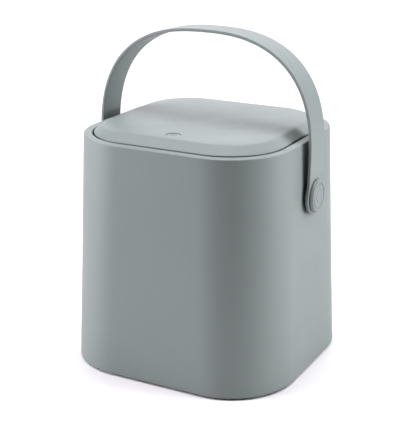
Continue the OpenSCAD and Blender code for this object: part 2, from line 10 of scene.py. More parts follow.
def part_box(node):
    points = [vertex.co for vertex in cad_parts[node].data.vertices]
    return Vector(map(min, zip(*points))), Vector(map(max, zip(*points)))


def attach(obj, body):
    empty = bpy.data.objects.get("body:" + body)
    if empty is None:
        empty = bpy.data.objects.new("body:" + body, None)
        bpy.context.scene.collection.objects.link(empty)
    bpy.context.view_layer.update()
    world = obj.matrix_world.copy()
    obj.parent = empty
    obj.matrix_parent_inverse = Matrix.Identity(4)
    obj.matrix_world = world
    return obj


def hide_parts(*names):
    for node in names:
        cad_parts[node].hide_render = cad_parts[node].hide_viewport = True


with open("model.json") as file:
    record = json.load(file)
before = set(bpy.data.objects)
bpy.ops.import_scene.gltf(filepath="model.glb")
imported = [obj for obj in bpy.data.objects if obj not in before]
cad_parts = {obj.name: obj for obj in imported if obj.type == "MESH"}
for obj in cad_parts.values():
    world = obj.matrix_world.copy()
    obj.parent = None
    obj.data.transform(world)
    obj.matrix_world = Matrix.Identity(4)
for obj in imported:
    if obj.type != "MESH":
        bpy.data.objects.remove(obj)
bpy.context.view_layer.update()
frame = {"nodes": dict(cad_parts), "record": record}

bl_info = {
    "name": "Compost Caddy Dresser",
    "version": (1, 0, 0),
    "blender": (4, 5, 0),
    "location": "View3D > Sidebar > Caddy",
    "description": "Builds the moulded shell, lid, bucket and strap handle of a kitchen compost caddy",
    "category": "Object",
}

MM = 0.001
FEET = ("foot_front_left", "foot_front_right", "foot_rear_left", "foot_rear_right")
SHELL_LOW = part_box("outer_shell")[0]
LINER_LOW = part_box("lid_liner")[0]
STRAP_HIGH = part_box("handle_strap")[1]
BUSH_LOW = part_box("strap_bush_right")[0]
INNER_WASHER_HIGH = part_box("pivot_washer_right")[1]
WASHER_LOW, WASHER_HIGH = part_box("friction_washer_right")
BUTTON_LOW, BUTTON_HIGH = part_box("push_button")
SEAL_LOW, SEAL_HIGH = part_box("lid_seal")
BUCKET_LOW, BUCKET_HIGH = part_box("inner_bucket")
CAP_LOW, CAP_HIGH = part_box("pivot_button_right")
PIN_LOW, PIN_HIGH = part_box("hinge_pin")
PIN_MIDDLE = (PIN_LOW + PIN_HIGH) / 2


def length(name, description, default, **limits):
    """A property that holds a size in metres."""
    return FloatProperty(
        name=name, description=description, default=default,
        unit="LENGTH", subtype="DISTANCE", precision=5, **limits
    )


def colour(name, description, default):
    """A property that holds a linear colour."""
    return FloatVectorProperty(
        name=name, description=description, default=default,
        subtype="COLOR", size=3, min=0, max=1
    )


class CADDY_PG_body(bpy.types.PropertyGroup):
    """Sizes of the moulded body and its rim."""

    width: length("Width", "Width at the lower edge", 200 * MM)
    depth: length("Depth", "Depth at the lower edge", 192.4 * MM)
    height: length("Height", "From the lower edge to the rim", 197.7 * MM)
    lean: length("Lean", "How far each wall leans in up to the rim", 7.8 * MM)
    corner_low: length("Lower corner", "Plan radius at the lower edge", 58 * MM)
    corner_high: length("Upper corner", "Plan radius at the rim", 55 * MM)
    wall: length("Wall", "Thickness of the body's wall", 2.4 * MM)
    floor_gap: length("Floor gap", "Lower edge above the floor", SHELL_LOW.z)
    rim: length("Rim", "Width of the rim", 7.1 * MM)
    rim_radius: length("Rim radius", "Radius of the rim's outer edge", 1 * MM)
    throat: length("Throat wall", "Thickness of the wall inside the rim", 2.2 * MM)
    ledge_drop: length("Ledge drop", "Depth of the bucket's ledge", 24 * MM)
    ledge: length("Ledge", "Width of the bucket's ledge", 5 * MM)


class CADDY_PG_lid(bpy.types.PropertyGroup):
    """Sizes of the lid, its seal, its push button and its hinge."""

    gap: length("Gap", "Open gap between the rim and the lid", 1.5 * MM)
    rise: length("Rise", "Height of the lid's top above the rim", 6.7 * MM)
    shoulder: length("Shoulder", "Width of the sloping shoulder", 8 * MM)
    blend: length("Blend", "Radius between the shoulder and the flat top", 7 * MM)
    thickness: length("Thickness", "Thickness of the lid's top", 2.2 * MM)
    skirt: length("Skirt", "Thickness of the lid's skirt", 2 * MM)
    skirt_drop: length("Skirt drop", "Depth of the skirt below the rim", 8 * MM)
    knuckle: length("Knuckle", "Radius of the hinge knuckles", 4.5 * MM)
    hinge_width: length("Hinge width", "Width of the row of knuckles", 60 * MM)
    button_dish: length("Button dish", "Depth of the hollow in the button's face", 0.8 * MM)
    seal_proud: length("Seal", "How far the seal stands out", 1 * MM)


class CADDY_PG_handle(bpy.types.PropertyGroup):
    """Sizes of the strap handle and its pivots."""

    width: length("Strap width", "Width of the strap", 28 * MM)
    thickness: length("Strap thickness", "Thickness of the strap", 2.7 * MM)
    end_radius: length("End radius", "Radius of the strap's round ends", 16 * MM)
    leg: length("Leg", "Straight leg above the pivot", 31.8 * MM)
    arch: length("Arch", "Height of the arch, inner face", 94.4 * MM)
    fullness: FloatProperty(
        name="Fullness", description="Power of the arch's curve: 2 is an ellipse, 4 nearly a square",
        default=2.52, min=2, max=4
    )
    lean: FloatProperty(
        name="Lean", description="How far the handle leans back at rest",
        default=math.radians(1.8), subtype="ANGLE"
    )
    edge: length("Edge radius", "Rounding of the strap's edges", 0.7 * MM)
    cap_radius: length("Button radius", "Radius of the pivot button", 14 * MM)


class CADDY_PG_finish(bpy.types.PropertyGroup):
    """Colours of the finishes."""

    body: colour("Body", "Blue-grey moulded plastic", (0.161, 0.191, 0.181))
    inner: colour("Inner", "Darker moulded plastic", (0.095, 0.112, 0.108))
    rubber: colour("Rubber", "Feet and seal", (0.035, 0.037, 0.038))
    steel: colour("Steel", "Pin, screws and washers", (0.60, 0.61, 0.62))
    acetal: colour("Acetal", "Bushes and latch", (0.78, 0.78, 0.74))
    stage: colour("Stage", "Floor and backdrop", (0.72, 0.72, 0.72))
    roughness: FloatProperty(
        name="Roughness", description="Roughness of the body and the handle", default=0.52, min=0, max=1
    )
    inner_roughness: FloatProperty(
        name="Inner roughness", description="Roughness of the bucket and the liner",
        default=0.46, min=0, max=1
    )


class CADDY_PG_studio(bpy.types.PropertyGroup):
    """The camera's angle, distance and framing."""

    azimuth: FloatProperty(
        name="Azimuth", description="Camera's angle to the right of the front",
        default=math.radians(27.72), subtype="ANGLE"
    )
    elevation: FloatProperty(
        name="Elevation", description="Camera's angle above the horizon",
        default=math.radians(19.74), subtype="ANGLE"
    )
    distance: length("Distance", "From the body's middle to the camera", 962.3 * MM)
    focal_px: FloatProperty(name="Focal length", description="In pixels of the picture", default=1103.24)
    centre_x: FloatProperty(name="Centre across", description="Optical axis, pixels", default=208.37)
    centre_y: FloatProperty(name="Centre down", description="Optical axis, pixels", default=237.63)
    picture_w: IntProperty(name="Picture width", description="Pixels", default=407)
    picture_h: IntProperty(name="Picture height", description="Pixels", default=448)


# ---- outlines and levels ----------------------------------------------------

CORNER_STEPS = 20  # points along each rounded corner
FLAT_STEPS = 6  # and along each flat side
RING_COUNT = 4 * (CORNER_STEPS + FLAT_STEPS)


def outline(half_w, half_d, radius):
    """Points of a rounded rectangle, anticlockwise, always the same number of them."""
    points = []
    for quarter in range(4):
        side_x = 1 if quarter in (0, 3) else -1
        side_y = 1 if quarter < 2 else -1
        centre = Vector((side_x * (half_w - radius), side_y * (half_d - radius)))
        for step in range(CORNER_STEPS + 1):
            angle = math.pi / 2 * (quarter + step / CORNER_STEPS)
            points.append(centre + radius * Vector((math.cos(angle), math.sin(angle))))
        next_x = 1 if quarter in (3, 2) else -1
        next_y = 1 if quarter in (0, 3) else -1
        turn = math.pi / 2 * (quarter + 1)
        following = Vector((next_x * (half_w - radius), next_y * (half_d - radius)))
        following += radius * Vector((math.cos(turn), math.sin(turn)))
        start = points[-1]
        points += [start.lerp(following, k / FLAT_STEPS) for k in range(1, FLAT_STEPS)]
    return points


def wall_level(body, inset, z):
    """Level on the body's leaning wall: half width, half depth, corner radius, height."""
    t = (z - body.floor_gap) / body.height
    radius = body.corner_low + (body.corner_high - body.corner_low) * t
    half_w = body.width / 2 - body.lean * t
    half_d = body.depth / 2 - body.lean * t
    return half_w - inset, half_d - inset, radius - inset, z


def rim_height(body):
    """Height of the rim's top above the floor."""
    return body.floor_gap + body.height


def rim_level(body, inset, z):
    """Level on an upright line below or above the rim's outer edge."""
    half_w, half_d, radius, _ = wall_level(body, 0, rim_height(body))
    return half_w - inset, half_d - inset, radius - inset, z


def lid_level(body, lid, inset, z):
    """Level measured in from the lid's own edge."""
    return rim_level(body, body.rim + lid.gap + inset, z)


def arc(steps, start=0.0, end=90.0):
    """Cosine and sine of evenly spaced angles, both ends included."""
    angles = [math.radians(start + (end - start) * k / steps) for k in range(steps + 1)]
    return [(math.cos(a), math.sin(a)) for a in angles]


# ---- mesh helpers -----------------------------------------------------------

POLE_WELD = 1e-7  # distance under which the doubles of a spun profile are one
MESH_WELD = 1e-6  # and those of a finished piece
ROD_BEVEL = 0.4 * MM
SMOOTH_BELOW = 32  # degrees between faces
NORMAL_WEIGHT = 80


def lay_ring(ring, level):
    """Moves a ring's vertices onto the outline of a level."""
    half_w, half_d, radius, z = level
    for vertex, point in zip(ring, outline(half_w, half_d, radius)):
        vertex.co = (point.x, point.y, z)


def ring_edges(bm, ring):
    """Edges between each vertex of a closed ring and the next."""
    return [bm.edges.get((v, ring[(i + 1) % len(ring)])) for i, v in enumerate(ring)]


def extrude_ring(bm, ring):
    """Extrudes a closed ring and returns the new one in the same order."""
    place = {vertex: i for i, vertex in enumerate(ring)}
    made = bmesh.ops.extrude_edge_only(bm, edges=ring_edges(bm, ring))["geom"]
    new_ring = [None] * len(ring)
    for vertex in (g for g in made if isinstance(g, bmesh.types.BMVert)):
        for edge in vertex.link_edges:
            old = edge.other_vert(vertex)
            if old in place:
                new_ring[place[old]] = vertex
    return new_ring


def loft(levels, loop=False):
    """Bmesh of a skin through rounded-square levels, capped or joined end to end."""
    bm = bmesh.new()
    first = bmesh.ops.create_circle(bm, cap_ends=False, segments=RING_COUNT, radius=1)["verts"]
    lay_ring(first, levels[0])
    ring = first
    for level in levels[1:]:
        ring = extrude_ring(bm, ring)
        lay_ring(ring, level)
    if loop:
        bmesh.ops.bridge_loops(bm, edges=ring_edges(bm, first) + ring_edges(bm, ring))
    else:
        bmesh.ops.contextual_create(bm, geom=ring_edges(bm, first))
        bmesh.ops.contextual_create(bm, geom=ring_edges(bm, ring))
    bmesh.ops.recalc_face_normals(bm, faces=bm.faces)
    return bm


def turned(profile, axis, centre, steps=96):
    """Bmesh of a profile of (radius, height) points spun about an axis through centre."""
    bm = bmesh.new()
    points = [bm.verts.new((radius, 0, height)) for radius, height in profile]
    for a, b in zip(points, points[1:]):
        bm.edges.new((a, b))
    bmesh.ops.spin(
        bm, geom=bm.verts[:] + bm.edges[:], cent=(0, 0, 0), axis=(0, 0, 1),
        angle=2 * math.pi, steps=steps, use_merge=True
    )
    bmesh.ops.remove_doubles(bm, verts=bm.verts, dist=POLE_WELD)
    bmesh.ops.recalc_face_normals(bm, faces=bm.faces)
    place = Vector((0, 0, 1)).rotation_difference(Vector(axis)).to_matrix().to_4x4()
    bmesh.ops.transform(bm, matrix=Matrix.Translation(centre) @ place, verts=bm.verts)
    return bm


def bevelled_box(low, high, radius=0, segments=3):
    """Bmesh of a box between two corners, with rounded edges if it has a radius."""
    low, high = Vector(low), Vector(high)
    bm = bmesh.new()
    bmesh.ops.create_cube(bm, size=1)
    bmesh.ops.scale(bm, vec=high - low, verts=bm.verts)
    bmesh.ops.translate(bm, vec=(low + high) / 2, verts=bm.verts)
    if radius > 0:
        bmesh.ops.bevel(
            bm, geom=bm.edges[:], offset=radius, offset_type="OFFSET", segments=segments,
            profile=0.5, affect="EDGES", clamp_overlap=True, material=-1
        )
    return bm


def bevelled_rod(x_low, x_high, radius, centre, bevel=ROD_BEVEL, steps=48):
    """Bmesh of a rod along X with bevelled ends."""
    profile = [(0, x_low), (radius - bevel, x_low), (radius, x_low + bevel)]
    profile += [(radius, x_high - bevel), (radius - bevel, x_high), (0, x_high)]
    return turned(profile, (1, 0, 0), centre, steps)


def new_object(name, bm):
    """Object at the origin from a bmesh, which is freed."""
    if bm.calc_volume(signed=True) < 0:
        bmesh.ops.reverse_faces(bm, faces=bm.faces)
    mesh = bpy.data.meshes.new(name)
    bm.to_mesh(mesh)
    bm.free()
    piece = bpy.data.objects.new(name, mesh)
    bpy.context.scene.collection.objects.link(piece)
    return piece


def combine(piece, tool_bmesh, operation):
    """Joins a closed tool mesh to a piece, or cuts it out, and frees the tool."""
    tool = new_object("tool", tool_bmesh)
    modifier = piece.modifiers.new("combine", "BOOLEAN")
    modifier.object = tool
    modifier.operation = operation
    modifier.solver = "MANIFOLD"
    bpy.context.view_layer.update()
    evaluated = piece.evaluated_get(bpy.context.evaluated_depsgraph_get())
    made = bpy.data.meshes.new_from_object(evaluated)
    piece.modifiers.clear()
    old = piece.data
    piece.data = made
    bpy.data.meshes.remove(old)
    mesh = tool.data
    bpy.data.objects.remove(tool)
    bpy.data.meshes.remove(mesh)


def shade(piece):
    """Smooth shading, with sharp edges where faces meet at a larger angle."""
    bm = bmesh.new()
    bm.from_mesh(piece.data)
    bmesh.ops.remove_doubles(bm, verts=bm.verts, dist=MESH_WELD)
    limit = math.radians(SMOOTH_BELOW)
    for face in bm.faces:
        face.smooth = True
    for edge in bm.edges:
        edge.smooth = len(edge.link_faces) == 2 and edge.calc_face_angle(0) < limit
    bm.to_mesh(piece.data)
    bm.free()


def dress(piece, body_name, slot_name, nodes):
    """Gives a finished piece its shading, finish and body, and hides the CAD nodes it stands for."""
    shade(piece)
    weighted = piece.modifiers.new("even_normals", "WEIGHTED_NORMAL")
    weighted.keep_sharp = True
    weighted.weight = NORMAL_WEIGHT
    piece.data.materials.clear()
    piece.data.materials.append(finish_named(slot_name))
    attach(piece, body_name)
    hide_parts(*nodes)
    return piece


# ---- materials --------------------------------------------------------------

COLOUR_A = 6  # sockets of a Mix node that is set to colour
COLOUR_B = 7
COLOUR_OUT = 2
CREVICE_SHADE_REACH = 0.02  # painted shade: how near another surface must come to darken the colour, in metres
CREVICE_SHADE_RAYS = 12


class NodeBoard:
    """Small helper that lays out and joins the nodes of one material."""

    def __init__(self, name):
        self.material = bpy.data.materials.new(name)
        self.material.use_nodes = True
        self.nodes = self.material.node_tree.nodes
        self.links = self.material.node_tree.links
        self.shader = self.nodes["Principled BSDF"]
        self.place = self.nodes.new("ShaderNodeTexCoord").outputs["Object"]

    def node(self, kind, inputs=None, **settings):
        """A node with its settings made and its inputs set or linked."""
        made = self.nodes.new(kind)
        for key, value in settings.items():
            setattr(made, key, value)
        for key, value in (inputs or {}).items():
            if isinstance(value, bpy.types.NodeSocket):
                self.links.new(value, made.inputs[key])
            else:
                made.inputs[key].default_value = value
        return made

    def noise(self, scale, detail, roughness):
        return self.node(
            "ShaderNodeTexNoise",
            {"Vector": self.place, "Scale": scale, "Detail": detail, "Roughness": roughness}
        ).outputs["Fac"]

    def span(self, value, low, high, source=(0.3, 0.7)):
        """A value stretched from its usual range to the one from low to high."""
        return self.node(
            "ShaderNodeMapRange",
            {
                "Value": value, "From Min": source[0], "From Max": source[1],
                "To Min": low, "To Max": high,
            }
        ).outputs["Result"]

    def tint(self, value, dark, light):
        ramp = self.node("ShaderNodeValToRGB", {"Fac": value})
        for stop, position, rgb in zip(ramp.color_ramp.elements, (0.3, 0.7), (dark, light)):
            stop.position = position
            stop.color = (*rgb, 1)
        return ramp.outputs["Color"]

    def mix(self, factor, first, second, blend="MIX"):
        return self.node(
            "ShaderNodeMix", {"Factor": factor, COLOUR_A: first, COLOUR_B: second},
            data_type="RGBA", blend_type=blend
        ).outputs[COLOUR_OUT]

    def bump(self, height, strength, distance, normal=None):
        inputs = {"Height": height, "Strength": strength, "Distance": distance}
        if normal is not None:
            inputs["Normal"] = normal
        return self.node("ShaderNodeBump", inputs).outputs["Normal"]

    def finish(self, **sockets):
        """Sets or links the shader's sockets and hands the material over."""
        for key, value in sockets.items():
            name = key.replace("_", " ")
            if isinstance(value, bpy.types.NodeSocket):
                self.links.new(value, self.shader.inputs[name])
            else:
                self.shader.inputs[name].default_value = value
        return self.material


def shaded(rgb, factor):
    """A colour made lighter or darker."""
    return tuple(min(channel * factor, 1) for channel in rgb)


def moulded_plastic(name, rgb, roughness, grain=1.0):
    """Satin moulded plastic: cloudy tint, painted highlights on convex edges, painted shade in crevices,
    uneven gloss and a fine grain.
    """
    board = NodeBoard(name)
    cloud = board.noise(scale=9, detail=4, roughness=0.55)
    speck = board.noise(scale=900, detail=2, roughness=0.6)
    flow = board.noise(scale=38, detail=3, roughness=0.5)
    tone = board.tint(cloud, dark=shaded(rgb, 0.975), light=shaded(rgb, 1.025))
    # Painted highlight: convex edges, found by pointiness, are mixed towards a lighter copy of the
    # colour.
    pointed = board.node("ShaderNodeNewGeometry").outputs["Pointiness"]
    edge = board.span(pointed, 0.0, 0.35, source=(0.515, 0.60))
    edge_highlighted = board.mix(edge, tone, (*shaded(rgb, 1.22), 1))
    # Painted shade: ambient occlusion darkens the colour where other surfaces come close, as in the gap
    # between the strap and the wall.
    open_sky = board.node("ShaderNodeAmbientOcclusion", {"Distance": CREVICE_SHADE_REACH}, samples=CREVICE_SHADE_RAYS)
    crevice_shade = board.span(open_sky.outputs["AO"], 0.15, 1.0, source=(0.08, 0.5))
    skin = board.bump(speck, strength=0.10 * grain, distance=0.00012)
    return board.finish(
        Base_Color=board.mix(1, edge_highlighted, crevice_shade, blend="MULTIPLY"),
        Roughness=board.span(flow, roughness - 0.03, roughness + 0.04),
        Normal=board.bump(flow, strength=0.04 * grain, distance=0.0006, normal=skin), IOR=1.49
    )


def soft_rubber(name, rgb):
    """Matt elastomer with a dusty, slightly pebbled skin."""
    board = NodeBoard(name)
    dust = board.noise(scale=120, detail=4, roughness=0.6)
    pebble = board.noise(scale=1400, detail=2, roughness=0.5)
    return board.finish(
        Base_Color=board.tint(dust, dark=shaded(rgb, 0.85), light=shaded(rgb, 1.5)),
        Roughness=board.span(dust, 0.68, 0.86),
        Normal=board.bump(pebble, strength=0.22, distance=0.00015), IOR=1.45
    )


def plated_steel(name, rgb):
    """Zinc-plated steel with fine turning marks."""
    board = NodeBoard(name)
    marks = board.node(
        "ShaderNodeTexWave",
        {"Vector": board.place, "Scale": 900, "Distortion": 1.5, "Detail": 2},
        bands_direction="X"
    ).outputs["Fac"]
    cloud = board.noise(scale=260, detail=3, roughness=0.6)
    return board.finish(
        Base_Color=board.tint(cloud, dark=shaded(rgb, 0.86), light=shaded(rgb, 1.08)),
        Metallic=1.0, Roughness=board.span(cloud, 0.24, 0.42),
        Normal=board.bump(marks, strength=0.10, distance=0.00006)
    )


def milky_acetal(name, rgb):
    """Natural acetal, a little waxy, with faint flow marks."""
    board = NodeBoard(name)
    flow = board.noise(scale=160, detail=4, roughness=0.55)
    return board.finish(
        Base_Color=board.tint(flow, dark=shaded(rgb, 0.94), light=shaded(rgb, 1.03)),
        Roughness=board.span(flow, 0.30, 0.42),
        Normal=board.bump(flow, strength=0.06, distance=0.0002), IOR=1.48
    )


def stage_paint(name, rgb):
    """Plain pale studio floor."""
    board = NodeBoard(name)
    return board.finish(Base_Color=(*rgb, 1), Roughness=0.9)


def finish_named(slot_name):
    """The finish of a material slot, made on first use."""
    name = "finish_" + slot_name
    if name in bpy.data.materials:
        return bpy.data.materials[name]
    finish = bpy.context.scene.caddy_finish
    makers = {
        "body_plastic": lambda: moulded_plastic(name, finish.body, finish.roughness),
        "handle_plastic": lambda: moulded_plastic(
            name, shaded(finish.body, 1.02), finish.roughness, grain=0.7
        ),
        "inner_plastic": lambda: moulded_plastic(name, finish.inner, finish.inner_roughness, grain=1.4),
        "soft_rubber": lambda: soft_rubber(name, finish.rubber),
        "plated_steel": lambda: plated_steel(name, finish.steel),
        "slide_plastic": lambda: milky_acetal(name, finish.acetal),
        "stage_paint": lambda: stage_paint(name, finish.stage),
    }
    return makers[slot_name]()


# ---- shell ------------------------------------------------------------------

OVERSHOOT = 1 * MM  # how far a cutting tool passes beyond what it cuts
PIN_BORE = 2.05 * MM  # radius of the bores for the hinge pin

LOWER_EDGE = [(1.1, 0), (0.35, 0.25), (0, 0.9), (0, 3)]  # inset and height, in mm
WALL_SHARES = (0.2, 0.4, 0.6, 0.8, 0.95)  # heights of the wall's rings, as shares of the wall
RIM_RUN = 1 * MM  # straight wall under the rim's outer edge
RIM_THICKNESS = 3.2 * MM
LIP_RADIUS = 0.4 * MM  # radius of the rim's inner edge
THROAT_RUN = 4 * MM  # from the rim's top to the throat's first straight ring
LEDGE_CHAMFER = 0.5 * MM
INNER_CHAMFER = 0.6 * MM  # of the wall's lower edge, inside

SEAT_SIDE = 2.8 * MM  # how far the hinge's seat stands out beside the knuckles
SEAT_FRONT = 0.5 * MM
SEAT_BACK = 0.7 * MM
SEAT_DEPTH = 8 * MM
SEAT_DROP = 1.6 * MM
NOTCH_SLIP = 0.3 * MM  # between the notch and the row of knuckles
NOTCH_HEIGHT = 30 * MM
NOTCH_REACH = 1.5  # rim widths that it is cut behind the pin
KNUCKLE_ROOM = 0.5 * MM  # under the knuckles
END_KNUCKLE = 10 * MM  # length of the outer knuckles
MIDDLE_KNUCKLE = 8 * MM  # half the length of the middle one
WEB_INSET = 0.2 * MM
WEB_ROOT = 1 * MM
MOUTH_HALF = 1.7 * MM  # half the width of the mouth that the pin snaps through
MOUTH_HEIGHT = 9 * MM

PAD_RADIUS = 11 * MM  # pads that carry the handle's pivots
STEM_BORE = 5.05 * MM
BOSS_BORE = 1.5 * MM  # bosses of the base screws
BOSS_RADIUS = 5 * MM
BOSS_HEIGHT = 20 * MM
BOSS_FOOT = 7 * MM


def bore_tool(x_low, x_high, radius, centre):
    """Bmesh of a sharp rod that cuts a bore right through."""
    return bevelled_rod(x_low - OVERSHOOT, x_high + OVERSHOOT, radius, centre, bevel=0)


class CADDY_OT_shell(bpy.types.Operator):
    """Mould the body: leaning walls, rolled rim, throat, bucket ledge and hinge seat"""

    bl_idname = "caddy.shell"
    bl_label = "Outer shell"

    def execute(self, context):
        body = context.scene.caddy_body
        shell = new_object("shell", loft(self.levels(body), loop=True))
        self.add_hinge(shell, body, context.scene.caddy_lid)
        self.add_pivots(shell)
        self.add_screw_bosses(shell, body)
        dress(shell, "root", "body_plastic", ["outer_shell"])
        return {"FINISHED"}

    def levels(self, body):
        """Levels up the outside, over the rim, down the throat and the inside."""
        top = rim_height(body)
        under = top - RIM_THICKNESS
        ledge_z = top - body.ledge_drop
        radius = body.rim_radius
        inner = body.rim - body.throat
        outside = [(inset * MM, body.floor_gap + z * MM) for inset, z in LOWER_EDGE]
        outside += [(0, body.floor_gap + body.height * share) for share in WALL_SHARES]
        outside.append((0, top - radius - RIM_RUN))
        outside += [(radius * (1 - c), top - radius * (1 - s)) for c, s in arc(steps=8)]
        throat = [(body.rim - LIP_RADIUS * (1 - s), top - LIP_RADIUS * (1 - c)) for c, s in arc(steps=5)]
        throat += [
            (body.rim, top - THROAT_RUN),
            (body.rim, ledge_z + LEDGE_CHAMFER),
            (body.rim + LEDGE_CHAMFER, ledge_z),
            (body.rim + body.ledge, ledge_z),
            (body.rim + body.ledge, ledge_z - body.throat),
            (inner, ledge_z - body.throat),
            (inner, under),
        ]
        inside = [
            (body.wall, under),
            (body.wall, body.floor_gap + INNER_CHAMFER),
            (body.wall - INNER_CHAMFER, body.floor_gap),
        ]
        levels = [wall_level(body, *mark) for mark in outside]
        levels += [rim_level(body, *mark) for mark in throat]
        levels += [wall_level(body, *mark) for mark in inside]
        return levels

    def add_hinge(self, shell, body, lid):
        """Seat, notch and snap-in knuckles at the back of the rim."""
        y, z = PIN_MIDDLE.y, PIN_MIDDLE.z
        half = lid.hinge_width / 2
        notch_z = z - lid.knuckle - KNUCKLE_ROOM
        seat = bevelled_box(
            (-half - SEAT_SIDE, y - body.rim / 2 + SEAT_FRONT, notch_z - SEAT_DEPTH),
            (half + SEAT_SIDE, y + body.rim / 2 - SEAT_BACK, rim_height(body) - SEAT_DROP)
        )
        combine(shell, seat, "UNION")
        notch = bevelled_box(
            (-half - NOTCH_SLIP, y - body.rim, notch_z),
            (half + NOTCH_SLIP, y + NOTCH_REACH * body.rim, notch_z + NOTCH_HEIGHT)
        )
        combine(shell, notch, "DIFFERENCE")
        middle = (-MIDDLE_KNUCKLE, MIDDLE_KNUCKLE)
        for low, high in ((-half, -half + END_KNUCKLE), middle, (half - END_KNUCKLE, half)):
            knuckle = new_object("knuckle", bevelled_rod(low, high, lid.knuckle, (0, y, z)))
            web = bevelled_box(
                (low, y - body.rim / 2 + WEB_INSET, notch_z - WEB_ROOT),
                (high, y + body.rim / 2 - WEB_INSET, z)
            )
            combine(knuckle, web, "UNION")
            combine(knuckle, bore_tool(low, high, PIN_BORE, (0, y, z)), "DIFFERENCE")
            mouth = bevelled_box(
                (low - OVERSHOOT, y - MOUTH_HALF, z), (high + OVERSHOOT, y + MOUTH_HALF, z + MOUTH_HEIGHT)
            )
            combine(knuckle, mouth, "DIFFERENCE")
            tool = bmesh.new()
            tool.from_mesh(knuckle.data)
            bpy.data.objects.remove(knuckle)
            combine(shell, tool, "UNION")

    def add_pivots(self, shell):
        """Pads that the strap turns against, with a bore for each stem."""
        centre = (0, 0, (WASHER_LOW.z + WASHER_HIGH.z) / 2)
        for side in (-1, 1):
            pad = sorted((side * INNER_WASHER_HIGH.x, side * WASHER_LOW.x))
            combine(shell, bevelled_rod(*pad, PAD_RADIUS, centre), "UNION")
            combine(shell, bore_tool(*pad, STEM_BORE, centre), "DIFFERENCE")

    def add_screw_bosses(self, shell, body):
        """Bosses for the base screws, above the feet."""
        profile = [(BOSS_BORE, 0), (BOSS_RADIUS, 0), (BOSS_RADIUS, BOSS_HEIGHT)]
        profile += [(BOSS_BORE, BOSS_HEIGHT), (BOSS_BORE, 0)]
        for name in FEET:
            low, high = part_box(name)
            middle = (low + high) / 2
            boss = turned(profile, (0, 0, 1), (middle.x, middle.y, body.floor_gap + BOSS_FOOT), steps=40)
            combine(shell, boss, "UNION")


# ---- lid --------------------------------------------------------------------

SHOULDER_FOOT = 0.6 * MM  # height of the shoulder's foot above the rim
EDGE_CUT = 0.4 * MM  # size of the small rounded edge at the foot
EDGE_POINTS = [(0.03, -0.2), (0.14, 0)]  # its rounding, as inset and height in mm
SKIRT_CHAMFER = 0.3 * MM
SKIRT_RING = 2 * MM  # the skirt's upper ring, below the rim
CROWN = [(4, 0.05), (9, 0.16)]  # past the shoulder and above the flat top, in mm
CROWN_WIDTHS = 3  # the crown levels off this many shoulder widths in
CROWN_RISE = 0.3 * MM
LID_KNUCKLE = (8.3 * MM, 19.7 * MM)  # ends of the lid's knuckles, from the middle
ARM_OVERLAP = 0.8 * MM
ARM_BELOW = 2.4 * MM
ARM_ABOVE = 2.2 * MM
HOLE_RADIUS = 6.3 * MM  # hole of the push button
HOLE_FLARE = 0.3 * MM
HOLE_TOP = 0.35 * MM
HOLE_DEPTH = 6 * MM
HOLE_HEADROOM = 2 * MM
GATE_HALF = 7.3 * MM  # half the width of the latch's opening
GATE_DROP = 4.3 * MM  # its upper edge, below the rim
GATE_DEPTH = 3 * MM


def lid_edge_y(body, lid):
    """Distance from the middle to the lid's front and back edges."""
    return wall_level(body, 0, rim_height(body))[1] - body.rim - lid.gap


